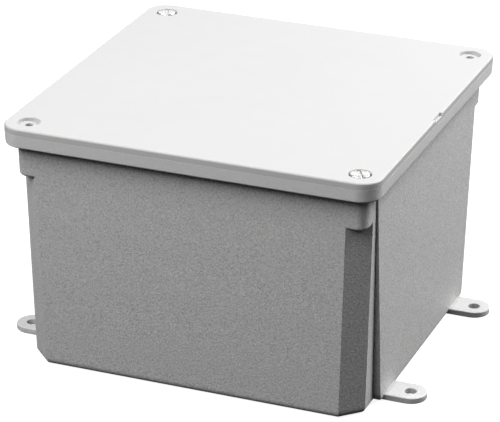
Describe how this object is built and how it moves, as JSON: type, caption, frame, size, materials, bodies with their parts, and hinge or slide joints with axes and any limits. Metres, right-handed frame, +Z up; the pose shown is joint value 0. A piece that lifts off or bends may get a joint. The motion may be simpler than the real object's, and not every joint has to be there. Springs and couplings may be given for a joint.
{
  "type": "junction box",
  "caption": "Square moulded plastic junction box with a flat gasketed cover held by corner screws, flared walls, a rim flange and mounting feet at its base.",
  "frame": {"origin": "middle of the underside, on the surface the box stands on or is screwed to", "axes": "+Z up through the cover, -Y towards the front wall, +X towards the right-hand side wall; the mounting feet stand out along X"},
  "size_m": [0.191, 0.167, 0.1116],
  "materials": {
    "pvc": "fine moulded grain, light grey PVC",
    "gasket_foam": "closed-cell foam, dark grey",
    "seal_rubber": "smooth black rubber",
    "screw_steel": "bright stainless steel, turned",
    "insert_brass": "machined brass"
  },
  "bodies": {
    "box": {"box_body": "pvc", "insert_front_left": "insert_brass", "insert_front_right": "insert_brass", "insert_rear_left": "insert_brass", "insert_rear_right": "insert_brass"},
    "lid": {"cover": "pvc", "cover_gasket": "gasket_foam"},
    "screw_front_right_seal": {"screw_seal_front_right": "seal_rubber"},
    "screw_front_right": {"cover_screw_front_right": "screw_steel"},
    "screw_rear_left_seal": {"screw_seal_rear_left": "seal_rubber"},
    "screw_rear_left": {"cover_screw_rear_left": "screw_steel"}
  },
  "joints": [
    {"name": "cover_lift", "type": "slide", "parent": "box", "child": "lid", "axis": [0, 0, 1], "range_m": [0, 0.15]},
    {"name": "screw_front_right_rise", "type": "slide", "parent": "lid", "child": "screw_front_right_seal", "axis": [0, 0, 1], "range_m": [0, 0.0111]},
    {"name": "screw_front_right_turn", "type": "hinge", "parent": "screw_front_right_seal", "child": "screw_front_right", "pos_m": [0.0734, -0.0734, 0.1103], "axis": [0, 0, 1], "range_deg": [0, 5040]},
    {"name": "screw_rear_left_rise", "type": "slide", "parent": "lid", "child": "screw_rear_left_seal", "axis": [0, 0, 1], "range_m": [0, 0.0111]},
    {"name": "screw_rear_left_turn", "type": "hinge", "parent": "screw_rear_left_seal", "child": "screw_rear_left", "pos_m": [-0.0734, 0.0734, 0.1103], "axis": [0, 0, 1], "range_deg": [0, 5040]}
  ],
  "couplings": [
    {"joint": "screw_front_right_turn", "follows": "screw_front_right_rise", "rad_per_m": 7915.8},
    {"joint": "screw_rear_left_turn", "follows": "screw_rear_left_rise", "rad_per_m": 7915.8}
  ]
}
